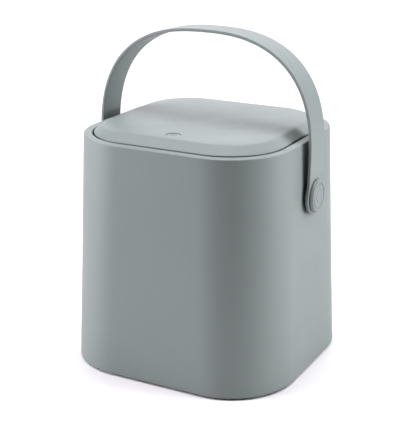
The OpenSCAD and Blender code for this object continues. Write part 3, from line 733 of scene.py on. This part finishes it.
class CADDY_OT_lid(bpy.types.Operator):
    """Mould the lid's cover: sloping shoulder, flat top, button hole and hinge knuckles"""

    bl_idname = "caddy.lid"
    bl_label = "Lid cover"

    def execute(self, context):
        body = context.scene.caddy_body
        lid = context.scene.caddy_lid
        cover = new_object("lid_top", loft(self.levels(body, lid)))
        self.add_knuckles(cover, body, lid)
        self.cut_button_hole(cover, rim_height(body) + lid.rise + HOLE_TOP)
        self.cut_gate(cover, body, lid)
        dress(cover, "lid", "body_plastic", ["lid_cover"])
        return {"FINISHED"}

    def levels(self, body, lid):
        """Levels from the middle of the underside, down the skirt and over the top."""
        top = rim_height(body)
        skirt_z = top - lid.skirt_drop
        marks = self.shoulder(lid, top, lid.skirt, lid.thickness)[::-1]
        marks += [(lid.skirt, skirt_z), (SKIRT_CHAMFER, skirt_z)]
        marks += [(0, skirt_z + SKIRT_CHAMFER), (0, top - SKIRT_RING)]
        marks += self.shoulder(lid, top, 0, 0)
        marks += [(lid.shoulder + inset * MM, top + lid.rise + z * MM) for inset, z in CROWN]
        marks.append((lid.shoulder * CROWN_WIDTHS, top + lid.rise + CROWN_RISE))
        return [lid_level(body, lid, *mark) for mark in marks]

    def shoulder(self, lid, top, inward, down):
        """Insets and heights of a small rounded edge, a straight slope and the blend above it."""
        slope = math.atan((lid.rise - SHOULDER_FOOT) / lid.shoulder)
        edge = [(0, -EDGE_CUT)] + [(inset * MM, z * MM) for inset, z in EDGE_POINTS]
        edge.append((EDGE_CUT, EDGE_CUT * math.tan(slope)))
        marks = [(inward + inset, top + SHOULDER_FOOT + z - down) for inset, z in edge]
        end = lid.shoulder + lid.blend * math.tan(slope / 2)
        marks += [
            (inward + end - lid.blend * s, top + lid.rise - lid.blend * (1 - c) - down)
            for c, s in arc(steps=8, start=math.degrees(slope), end=0)
        ]
        return marks

    def add_knuckles(self, cover, body, lid):
        """Two arms behind the lid, each with a bored knuckle."""
        y, z = PIN_MIDDLE.y, PIN_MIDDLE.z
        edge_y = lid_edge_y(body, lid)
        for side in (-1, 1):
            low, high = sorted(side * end for end in LID_KNUCKLE)
            arm = bevelled_box((low, edge_y - ARM_OVERLAP, z - ARM_BELOW), (high, y, z + ARM_ABOVE))
            combine(cover, arm, "UNION")
            combine(cover, bevelled_rod(low, high, lid.knuckle, (0, y, z)), "UNION")
            combine(cover, bore_tool(low, high, PIN_BORE, (0, y, z)), "DIFFERENCE")

    def cut_button_hole(self, cover, high):
        """Round hole for the push button, flared at its mouth."""
        middle = (BUTTON_LOW + BUTTON_HIGH) / 2
        low = high - HOLE_DEPTH
        profile = [(0, low), (HOLE_RADIUS, low), (HOLE_RADIUS, high - HOLE_FLARE)]
        flare = [
            (HOLE_RADIUS + HOLE_FLARE * (1 - c), high - HOLE_FLARE + HOLE_FLARE * s)
            for c, s in arc(steps=4)
        ]
        profile += flare[1:]
        profile += [(HOLE_RADIUS + HOLE_FLARE, high + HOLE_HEADROOM), (0, high + HOLE_HEADROOM)]
        combine(cover, turned(profile, (0, 0, 1), (middle.x, middle.y, 0), steps=64), "DIFFERENCE")

    def cut_gate(self, cover, body, lid):
        """Opening in the front of the skirt for the latch's nose."""
        top = rim_height(body)
        front = -lid_edge_y(body, lid)
        gate = bevelled_box(
            (-GATE_HALF, front - OVERSHOOT, top - lid.skirt_drop - OVERSHOOT),
            (GATE_HALF, front + GATE_DEPTH, top - GATE_DROP)
        )
        combine(cover, gate, "DIFFERENCE")


# ---- liner and seal ---------------------------------------------------------

PANEL_SLIP = 0.2 * MM  # between the lid's skirt and the panel
PANEL_FACE = [(20, 0.6), (16, 0.6), (15, 0), (2.8, 0), (1.5, 0.3), (0.9, 0.9), (0.7, 1.5)]  # in mm
PANEL_EDGE = 0.7 * MM  # inset of the panel's edge
FLANGE_CHAMFER = 0.2 * MM
FRAME_HEIGHT = 3.6 * MM  # upright frame that the panel snaps in by
FRAME_WALL = 1.6 * MM
GROOVE_RISE = 2 * MM  # seal's groove above the panel's face
GROOVE_DROP = 2.2 * MM  # and below the skirt
SEAL_SINK = 0.05 * MM
SEAL_ROOT = 0.5 * MM
PANEL_GATE_LOW = 7.9 * MM  # the latch's opening in the frame, below the rim
PANEL_GATE_DEPTH = 7.2 * MM


class CADDY_OT_liner(bpy.types.Operator):
    """Mould the lid's inner panel and lay the seal in its groove"""

    bl_idname = "caddy.liner"
    bl_label = "Lid liner and seal"

    def execute(self, context):
        body = context.scene.caddy_body
        lid = context.scene.caddy_lid
        groove = lid.skirt + PANEL_SLIP
        self.add_panel(body, lid, groove)
        self.add_seal(body, lid, groove)
        return {"FINISHED"}

    def add_panel(self, body, lid, groove):
        """The panel with its rolled edge, its groove, its flange and its frame."""
        top = rim_height(body)
        skirt_z = top - lid.skirt_drop
        groove_low = LINER_LOW.z + GROOVE_RISE
        groove_high = skirt_z - GROOVE_DROP
        marks = [(inset * MM, LINER_LOW.z + z * MM) for inset, z in PANEL_FACE]
        marks += [
            (PANEL_EDGE, groove_low),
            (groove, groove_low),
            (groove, groove_high),
            (FLANGE_CHAMFER, groove_high),
            (0, groove_high + FLANGE_CHAMFER),
            (0, skirt_z),
            (groove, skirt_z),
            (groove, skirt_z + FRAME_HEIGHT),
            (groove + FRAME_WALL, skirt_z + FRAME_HEIGHT),
            (groove + FRAME_WALL, groove_low),
        ]
        panel = new_object("lid_inner_panel", loft([lid_level(body, lid, *mark) for mark in marks]))
        front = -lid_edge_y(body, lid)
        gate = bevelled_box(
            (-GATE_HALF, front - OVERSHOOT, top - PANEL_GATE_LOW),
            (GATE_HALF, front + PANEL_GATE_DEPTH, top - GATE_DROP)
        )
        combine(panel, gate, "DIFFERENCE")
        dress(panel, "lid", "inner_plastic", ["lid_liner"])

    def add_seal(self, body, lid, groove):
        """The half-round seal."""
        half = (SEAL_HIGH.z - SEAL_LOW.z) / 2
        middle = (SEAL_HIGH.z + SEAL_LOW.z) / 2
        inner = groove - SEAL_SINK
        marks = [(inner, SEAL_LOW.z)]
        marks += [
            (SEAL_ROOT - (lid.seal_proud + SEAL_ROOT) * c, middle + half * s)
            for c, s in arc(steps=10, start=-90, end=90)
        ]
        marks.append((inner, SEAL_HIGH.z))
        seal = new_object("seal", loft([lid_level(body, lid, *mark) for mark in marks], loop=True))
        dress(seal, "lid", "soft_rubber", ["lid_seal"])


# ---- push button ------------------------------------------------------------

BUTTON_RADIUS = 6.1 * MM
BUTTON_SINK = 0.1 * MM  # the button's top below the lid's flat top
BUTTON_EDGE = 0.5 * MM  # radius of its edge
DISH_MARGIN = 0.6 * MM
DISH_STEPS = 9
COLLAR_RISE = 3.5 * MM  # the collar's top above the rim
COLLAR_THICKNESS = 1.4 * MM
COLLAR_WIDTH = 1.5 * MM
LEG_SPAN = (4.6 * MM, 6.2 * MM)  # the cam legs' faces, from the middle
LEG_HALF_DEPTH = 3 * MM
LEG_OVERLAP = 0.2 * MM
PEG_SPAN = (4.8 * MM, 8.5 * MM)  # the cam pegs' ends, from the middle
PEG_RADIUS = 1 * MM
PEG_DROP = 5.1 * MM  # the pegs' middle line below the rim
SMALL_BEVEL = 0.2 * MM


class CADDY_OT_button(bpy.types.Operator):
    """Turn the push button's dished cap and give it its collar and cam legs"""

    bl_idname = "caddy.button"
    bl_label = "Push button"

    def execute(self, context):
        lid = context.scene.caddy_lid
        rim_z = rim_height(context.scene.caddy_body)
        middle = (BUTTON_LOW + BUTTON_HIGH) / 2
        collar_top = rim_z + COLLAR_RISE
        collar_low = collar_top - COLLAR_THICKNESS
        profile = self.profile(rim_z + lid.rise - BUTTON_SINK, collar_low, collar_top, lid.button_dish)
        button = new_object("button", turned(profile, (0, 0, 1), (middle.x, middle.y, 0), steps=72))
        for side in (-1, 1):
            low, high = sorted(side * face for face in LEG_SPAN)
            leg = bevelled_box(
                (low, middle.y - LEG_HALF_DEPTH, BUTTON_LOW.z),
                (high, middle.y + LEG_HALF_DEPTH, collar_low + LEG_OVERLAP), SMALL_BEVEL, segments=2
            )
            combine(button, leg, "UNION")
            ends = sorted(side * end for end in PEG_SPAN)
            peg = bevelled_rod(*ends, PEG_RADIUS, (0, middle.y, rim_z - PEG_DROP), SMALL_BEVEL, steps=24)
            combine(button, peg, "UNION")
        dress(button, "button", "body_plastic", ["push_button"])
        return {"FINISHED"}

    def profile(self, top, collar_low, collar_top, dish):
        """Half outline of the cap: collar, side, rounded edge and dished face."""
        collar = BUTTON_RADIUS + COLLAR_WIDTH
        points = [(0, collar_low), (collar, collar_low), (collar, collar_top)]
        points += [(BUTTON_RADIUS, collar_top), (BUTTON_RADIUS, top - BUTTON_EDGE)]
        points += [
            (BUTTON_RADIUS - BUTTON_EDGE * (1 - c), top - BUTTON_EDGE * (1 - s)) for c, s in arc(steps=4)
        ][1:]
        inner = BUTTON_RADIUS - DISH_MARGIN
        for k in range(DISH_STEPS, -1, -1):
            share = k / DISH_STEPS
            points.append((inner * share, top - dish * math.cos(math.pi / 2 * share) ** 2))
        return points


# ---- bucket -----------------------------------------------------------------

BUCKET_WALL = 1.8 * MM
BUCKET_EDGE = 8 * MM  # radius of the bucket's lower edge
BUCKET_SLIP = 0.9 * MM  # between the bucket and the ledge
BUCKET_LEAN = 7 * MM
BUCKET_NECK = 1 * MM  # upright stretch under the lip
BUCKET_ROLL = 1.2 * MM  # radius of the inner upper edge
LIP_HEIGHT = 4 * MM
LIP_SLIP = 0.5 * MM  # between the lip and the throat
LIP_ROUND = 0.9 * MM
LIP_FILLET = 0.5 * MM
TAB_HALF = 17 * MM  # half the length of a finger tab
TAB_REACH = 2 * MM
TAB_SINK = 0.5 * MM
TAB_BEVEL = 0.7 * MM


class CADDY_OT_bucket(bpy.types.Operator):
    """Mould the lift-out bucket with its rolled edge and finger tabs"""

    bl_idname = "caddy.bucket"
    bl_label = "Inner bucket"

    def execute(self, context):
        body = context.scene.caddy_body
        ledge_z = rim_height(body) - body.ledge_drop
        top_inset = body.rim + body.ledge + BUCKET_SLIP
        bucket = new_object("bucket", loft(self.levels(body, ledge_z, top_inset)))
        half_w = rim_level(body, top_inset, 0)[0]
        for side in (-1, 1):
            near, far = sorted((side * half_w, side * (half_w + TAB_REACH)))
            tab = bevelled_box(
                (near, -TAB_HALF, ledge_z + BUCKET_WALL - TAB_SINK),
                (far, TAB_HALF, BUCKET_HIGH.z), TAB_BEVEL
            )
            combine(bucket, tab, "UNION")
        dress(bucket, "root", "inner_plastic", ["inner_bucket"])
        return {"FINISHED"}

    def levels(self, body, ledge_z, top_inset):
        """Levels up the outside, round the lip and down the inside."""
        low = BUCKET_LOW.z
        low_inset = top_inset + BUCKET_LEAN
        lip_inset = body.rim + LIP_SLIP
        lip_z = ledge_z + LIP_HEIGHT
        wall = BUCKET_WALL
        lip_floor = ledge_z + wall
        inside = BUCKET_EDGE - wall
        marks = [
            (low_inset + BUCKET_EDGE * (1 - s), low + BUCKET_EDGE * (1 - c)) for c, s in arc(steps=7)
        ]
        marks += [(top_inset, ledge_z - BUCKET_NECK), (top_inset, ledge_z), (lip_inset, ledge_z)]
        marks += [
            (lip_inset + LIP_ROUND * (1 - c), lip_z - LIP_ROUND * (1 - s))
            for c, s in arc(steps=5, end=180)
        ]
        marks += [(lip_inset + wall, lip_floor + LIP_FILLET), (lip_inset + wall + LIP_FILLET, lip_floor)]
        marks += [
            (top_inset + wall - BUCKET_ROLL * (1 - s), lip_floor - BUCKET_ROLL * (1 - c))
            for c, s in arc(steps=5)
        ]
        marks += [
            (low_inset + wall + inside * (1 - s), low + wall + inside * (1 - c))
            for c, s in arc(steps=7, start=90, end=0)
        ]
        return [rim_level(body, *mark) for mark in marks]


# ---- strap handle -----------------------------------------------------------

LINE_STEPS = 400  # along the arch's inner face
END_STEPS = 20  # round each end
FLARE_STEPS = 10  # from each end into the straight strap
STRAP_STEPS = 90  # along the strap between them
FLARE_RADIUS = 30 * MM
STRAIGHT_ENDS = 4  # points at each end where the line is straight
TANGENT_REACH = 3  # points on either side that smooth the line's direction
BUSH_BORE = 7.05 * MM
BORE_INWARD = 8 * MM
BORE_OUTWARD = 4 * MM


class CADDY_OT_handle(bpy.types.Operator):
    """Bend the strap handle, with round ends bored for their bushes"""

    bl_idname = "caddy.handle"
    bl_label = "Strap handle"

    def execute(self, context):
        handle = context.scene.caddy_handle
        pivot = (0, 0, ((CAP_LOW + CAP_HIGH) / 2).z)
        strap = new_object("strap", self.bent_strap(handle, pivot))
        for side in (-1, 1):
            ends = sorted((side * (STRAP_HIGH.x - BORE_INWARD), side * (STRAP_HIGH.x + BORE_OUTWARD)))
            combine(strap, bevelled_rod(*ends, BUSH_BORE, pivot, bevel=0, steps=64), "DIFFERENCE")
        dress(strap, "handle", "handle_plastic", ["handle_strap"])
        return {"FINISHED"}

    def bent_strap(self, handle, pivot):
        """Bmesh of the strap, bent along its line and leaning back."""
        line = self.inner_line(handle, pivot[2])
        marks = [0.0]
        for a, b in zip(line, line[1:]):
            marks.append(marks[-1] + (b - a).length)
        total = marks[-1]

        def on_line(distance):
            """Point and outward normal of the inner face at that distance along it."""
            distance = min(max(distance, 0), total)
            k = max(i for i, mark in enumerate(marks[:-1]) if mark <= distance)
            share = (distance - marks[k]) / (marks[k + 1] - marks[k])
            reach = TANGENT_REACH if STRAIGHT_ENDS < k < len(line) - STRAIGHT_ENDS - 2 else 0
            along = (line[k + 1 + reach] - line[k - reach]).normalized()
            return line[k].lerp(line[k + 1], share), Vector((along.z, 0, -along.x))

        bent = self.strip(handle, self.stations(handle, total), total, on_line)
        lean = Matrix.Rotation(-handle.lean, 3, "X")
        bmesh.ops.rotate(bent, verts=bent.verts, cent=pivot, matrix=lean)
        return bent

    def inner_line(self, handle, pivot_z):
        """Dense points of the strap's inner face, from the right end over to the left end."""
        inner_x = STRAP_HIGH.x - handle.thickness
        x_low = BUSH_LOW.x
        power = 2 / handle.fullness
        points = [Vector((x_low, 0, pivot_z - handle.end_radius)), Vector((x_low, 0, pivot_z))]
        for k in range(LINE_STEPS + 1):
            angle = math.pi * k / LINE_STEPS
            c, s = math.cos(angle), math.sin(angle)
            x = math.copysign(inner_x * abs(c) ** power, c)
            points.append(Vector((x, 0, pivot_z + handle.leg + handle.arch * abs(s) ** power)))
        points.append(Vector((-x_low, 0, pivot_z)))
        points.append(Vector((-x_low, 0, pivot_z - handle.end_radius)))
        return points

    def stations(self, handle, total):
        """Distances along the strap and its half width there, from end to end."""
        end_r = handle.end_radius
        half = handle.width / 2
        reach = FLARE_RADIUS + half
        flare = math.sqrt((end_r + FLARE_RADIUS) ** 2 - (half + FLARE_RADIUS) ** 2)
        touch = flare * end_r / (end_r + FLARE_RADIUS)
        last = math.pi / 2 + math.asin(touch / end_r)
        rows = []
        for k in range(1, END_STEPS + 1):
            angle = last * k / END_STEPS
            rows.append((end_r - end_r * math.cos(angle), end_r * math.sin(angle)))
        start = math.atan2(flare - touch, reach - math.sqrt(end_r ** 2 - touch ** 2))
        for k in range(1, FLARE_STEPS + 1):
            angle = start * (1 - k / FLARE_STEPS)
            across = reach - FLARE_RADIUS * math.cos(angle)
            rows.append((end_r + flare - FLARE_RADIUS * math.sin(angle), across))
        first = rows[-1][0]
        span = total - 2 * first
        middle = [(first + span * k / STRAP_STEPS, half) for k in range(1, STRAP_STEPS)]
        return rows + middle + [(total - u, w) for u, w in reversed(rows)]

    def strip(self, handle, stations, total, on_line):
        """Bmesh of the strap: an edge profile carried round its outline, faced across, then bent."""
        radius = handle.edge
        thick = handle.thickness
        rows = [(0.0, 0.0)] + stations + [(total, 0.0)]
        loop = rows + [(u, -w) for u, w in reversed(rows[1:-1])]
        count = len(loop)
        inward = []
        for i in range(count):
            along = (Vector(loop[(i + 1) % count]) - Vector(loop[i - 1])).normalized()
            inward.append(Vector((along.y, -along.x)))
        section = [(radius * (1 - c), radius * (1 - s)) for c, s in arc(steps=4, start=90, end=0)]
        section += [(inset, thick - depth) for inset, depth in reversed(section)]
        bm = bmesh.new()
        ring = bmesh.ops.create_circle(bm, cap_ends=False, segments=count, radius=1)["verts"]
        rings = []
        for number, (inset, height) in enumerate(section):
            if number:
                ring = extrude_ring(bm, ring)
            for vertex, (u, w), way in zip(ring, loop, inward):
                vertex.co = (u + way.x * inset, w + way.y * inset, height)
            rings.append(ring)
        self.face_across(bm, rings[0], len(rows) - 1)
        self.face_across(bm, rings[-1], len(rows) - 1)
        for vertex in bm.verts:
            u, w, height = vertex.co
            point, normal = on_line(u)
            beyond = min(u, 0) + max(u - total, 0)
            vertex.co = point + normal * height + Vector((0, w, -abs(beyond)))
        bmesh.ops.recalc_face_normals(bm, faces=bm.faces)
        return bm

    def face_across(self, bm, ring, side):
        """Fills a ring of the strap with faces that run from one long side to the other."""
        count = len(ring)
        for i in range(1, side):
            bm.edges.new((ring[i], ring[count - i]))
        for i in range(side):
            near, far = ring[i], ring[i + 1]
            near_over, far_over = ring[(count - i) % count], ring[count - i - 1]
            corners = [near, far]
            if far_over != far:
                corners.append(far_over)
            if near_over != near:
                corners.append(near_over)
            bmesh.ops.contextual_create(bm, geom=corners)


# ---- pivot buttons ----------------------------------------------------------

CAP_CLEARANCE = 0.3 * MM  # between the strap and the button
CAP_CHAMFER = 0.3 * MM
STEM_RADIUS = 5 * MM
SCREW_HOLE = 1.95 * MM
SCREW_DEPTH = 11 * MM
# Tapered side, rounded edge, ring groove, shallow face and fine ring: inset and depth in mm
CAP_FACE = [
    (0, 2.3), (0.25, 1.8), (0.95, 0.5), (1.15, 0.2), (1.45, 0.03), (1.8, 0), (2.7, 0),
    (3, 0.1), (3.3, 0.45), (3.6, 0.68), (4, 0.68), (4.3, 0.45), (4.7, 0.18), (5.1, 0.1),
    (8.2, 0.1), (8.45, 0.25), (8.7, 0.4), (8.9, 0.25), (9.1, 0.1), (11, 0.05),
]


class CADDY_OT_pivots(bpy.types.Operator):
    """Turn the two pivot buttons with their ring grooves and stems"""

    bl_idname = "caddy.pivots"
    bl_label = "Pivot buttons"

    def execute(self, context):
        radius = context.scene.caddy_handle.cap_radius
        middle_z = (CAP_LOW.z + CAP_HIGH.z) / 2
        profile = self.profile(radius, CAP_LOW.x, STRAP_HIGH.x + CAP_CLEARANCE, CAP_HIGH.x)
        for side, word in ((-1, "left"), (1, "right")):
            bm = turned(profile, (1, 0, 0), (0, 0, middle_z), steps=112)
            if side < 0:
                bmesh.ops.scale(bm, vec=(-1, 1, 1), verts=bm.verts)
                bmesh.ops.recalc_face_normals(bm, faces=bm.faces)
            cap = new_object("pivot_cap_" + word, bm)
            dress(cap, "root", "body_plastic", ["pivot_button_" + word])
        return {"FINISHED"}

    def profile(self, radius, stem_x, under_x, face_x):
        """Half outline of a button: screw hole, stem, underside and face."""
        points = [(0, stem_x + SCREW_DEPTH), (SCREW_HOLE, stem_x + SCREW_DEPTH), (SCREW_HOLE, stem_x)]
        points += [(STEM_RADIUS, stem_x), (STEM_RADIUS, under_x)]
        points += [(radius - CAP_CHAMFER, under_x), (radius, under_x + CAP_CHAMFER)]
        points += [(radius - inset * MM, face_x - depth * MM) for inset, depth in CAP_FACE]
        points.append((0, face_x))
        return points


# ---- base, feet and hardware ------------------------------------------------

class CADDY_OT_hardware(bpy.types.Operator):
    """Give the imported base, feet, pin, spring, latch, bushes, washers and screws their finishes"""

    bl_idname = "caddy.hardware"
    bl_label = "Base and hardware"

    def execute(self, context):
        slots = {row["node"]: row["material_slot"] for row in frame["record"]["subparts"]}
        for name, node in frame["nodes"].items():
            if node.hide_render:
                continue
            node.data.materials.clear()
            node.data.materials.append(finish_named(slots[name]))
        return {"FINISHED"}


# ---- stage ------------------------------------------------------------------

FLOOR_HALF = 4  # half the floor's width, in metres
CLIP_START = 0.05
WORLD_STRENGTH = 0.02
SOFT_TONE = (1.0, 0.97, 1.03)
FLOOR_TONE = (1.0, 0.99, 1.01)
MIDDLE = (0, 0, 0.12)  # of the caddy, which the softboxes face
SOFTBOXES = {
    # name: (place, point it faces, width, height, watts, tone)
    "left_softbox": ((-1.44, -0.83, 0.5), MIDDLE, 0.7, 0.7, 31.6, SOFT_TONE),
    "left_high_softbox": ((-0.8, -0.5, 1.54), MIDDLE, 0.7, 0.7, 12.5, SOFT_TONE),
    "right_softbox": ((1.65, 0.62, 0.3), MIDDLE, 0.8, 0.5, 18.5, SOFT_TONE),
    "right_high_softbox": ((0.95, 0.4, 1.54), MIDDLE, 0.7, 0.7, 11.0, SOFT_TONE),
    "top_softbox": ((0.0, 0.0, 1.7), MIDDLE, 0.7, 0.7, 23.0, SOFT_TONE),
    "back_wall": ((-1.0, 2.4, 0.9), MIDDLE, 4.0, 1.6, 37, SOFT_TONE),
    "floor_light_right": ((1.1, 0.5, 1.0), (1.1, 0.5, 0), 0.8, 0.8, 14, FLOOR_TONE),
    "floor_light_back": ((-0.8, 1.6, 1.2), (-0.8, 1.6, 0), 2.0, 1.6, 15, FLOOR_TONE),
}


class CADDY_OT_stage(bpy.types.Operator):
    """Set the pale floor, the soft lights and the camera"""

    bl_idname = "caddy.stage"
    bl_label = "Stage"

    def execute(self, context):
        self.add_floor()
        self.add_world(context.scene)
        self.add_lights()
        self.add_camera(context.scene, context.scene.caddy_studio, context.scene.caddy_body)
        return {"FINISHED"}

    def add_floor(self):
        """A plain pale floor."""
        bm = bmesh.new()
        bmesh.ops.create_grid(bm, x_segments=8, y_segments=8, size=FLOOR_HALF)
        floor = new_object("floor", bm)
        floor.data.materials.append(finish_named("stage_paint"))

    def add_world(self, scene):
        """A faint even light from all round."""
        world = bpy.data.worlds.new("studio")
        world.use_nodes = True
        back = world.node_tree.nodes["Background"]
        back.inputs["Color"].default_value = (1, 1, 1, 1)
        back.inputs["Strength"].default_value = WORLD_STRENGTH
        scene.world = world
        scene.view_settings.view_transform = "Standard"

    def add_lights(self):
        """The soft lights, each turned to the point it faces."""
        for name, (place, aim, wide, high, power, tone) in SOFTBOXES.items():
            lamp = bpy.data.lights.new(name, "AREA")
            lamp.shape = "RECTANGLE"
            lamp.size = wide
            lamp.size_y = high
            lamp.energy = power
            lamp.color = tone
            holder = bpy.data.objects.new(name, lamp)
            holder.location = place
            holder.rotation_euler = (Vector(aim) - Vector(place)).to_track_quat("-Z", "Y").to_euler()
            bpy.context.scene.collection.objects.link(holder)

    def add_camera(self, scene, studio, body):
        """A camera at the photograph's angle, distance and framing."""
        azimuth, elevation = studio.azimuth, studio.elevation
        back = Vector((
            math.sin(azimuth) * math.cos(elevation),
            -math.cos(azimuth) * math.cos(elevation),
            math.sin(elevation),
        ))
        right = Vector((math.cos(azimuth), math.sin(azimuth), 0))
        up = back.cross(right)
        lens = bpy.data.cameras.new("camera")
        lens.lens = studio.focal_px / studio.picture_h * lens.sensor_width
        lens.shift_x = (studio.picture_w / 2 - studio.centre_x) / studio.picture_h
        lens.shift_y = (studio.centre_y - studio.picture_h / 2) / studio.picture_h
        lens.clip_start = CLIP_START
        camera = bpy.data.objects.new("camera", lens)
        middle = Vector((0, 0, body.floor_gap + body.height / 2))
        turn = Matrix((right, up, back)).transposed().to_4x4()
        camera.matrix_world = Matrix.Translation(middle + back * studio.distance) @ turn
        scene.collection.objects.link(camera)
        scene.camera = camera


class CADDY_PT_panel(bpy.types.Panel):
    """Sidebar panel with the sizes, colours and steps of the caddy"""

    bl_idname = "CADDY_PT_panel"
    bl_label = "Compost caddy"
    bl_space_type = "VIEW_3D"
    bl_region_type = "UI"
    bl_category = "Caddy"

    def draw(self, context):
        layout = self.layout
        for attribute, group in PROPERTY_GROUPS.items():
            box = layout.box()
            holder = getattr(context.scene, attribute)
            for name in group.__annotations__:
                box.prop(holder, name)
        for step in STEPS:
            layout.operator(step.bl_idname)


PROPERTY_GROUPS = {
    "caddy_body": CADDY_PG_body,
    "caddy_lid": CADDY_PG_lid,
    "caddy_handle": CADDY_PG_handle,
    "caddy_finish": CADDY_PG_finish,
    "caddy_studio": CADDY_PG_studio,
}
STEPS = (
    CADDY_OT_stage, CADDY_OT_shell, CADDY_OT_bucket, CADDY_OT_lid, CADDY_OT_liner,
    CADDY_OT_button, CADDY_OT_handle, CADDY_OT_pivots, CADDY_OT_hardware,
)
CLASSES = tuple(PROPERTY_GROUPS.values()) + STEPS + (CADDY_PT_panel,)


def register():
    """Registers the classes and hangs the sizes on the scene."""
    for cls in CLASSES:
        bpy.utils.register_class(cls)
    for attribute, group in PROPERTY_GROUPS.items():
        setattr(bpy.types.Scene, attribute, PointerProperty(type=group))


def unregister():
    """Takes the sizes and the classes away again."""
    for attribute in PROPERTY_GROUPS:
        delattr(bpy.types.Scene, attribute)
    for cls in reversed(CLASSES):
        bpy.utils.unregister_class(cls)


def main():
    """Builds every piece and the stage."""
    register()
    for step in STEPS:
        group, name = step.bl_idname.split(".")
        getattr(getattr(bpy.ops, group), name)()


if __name__ == "__main__":
    main()
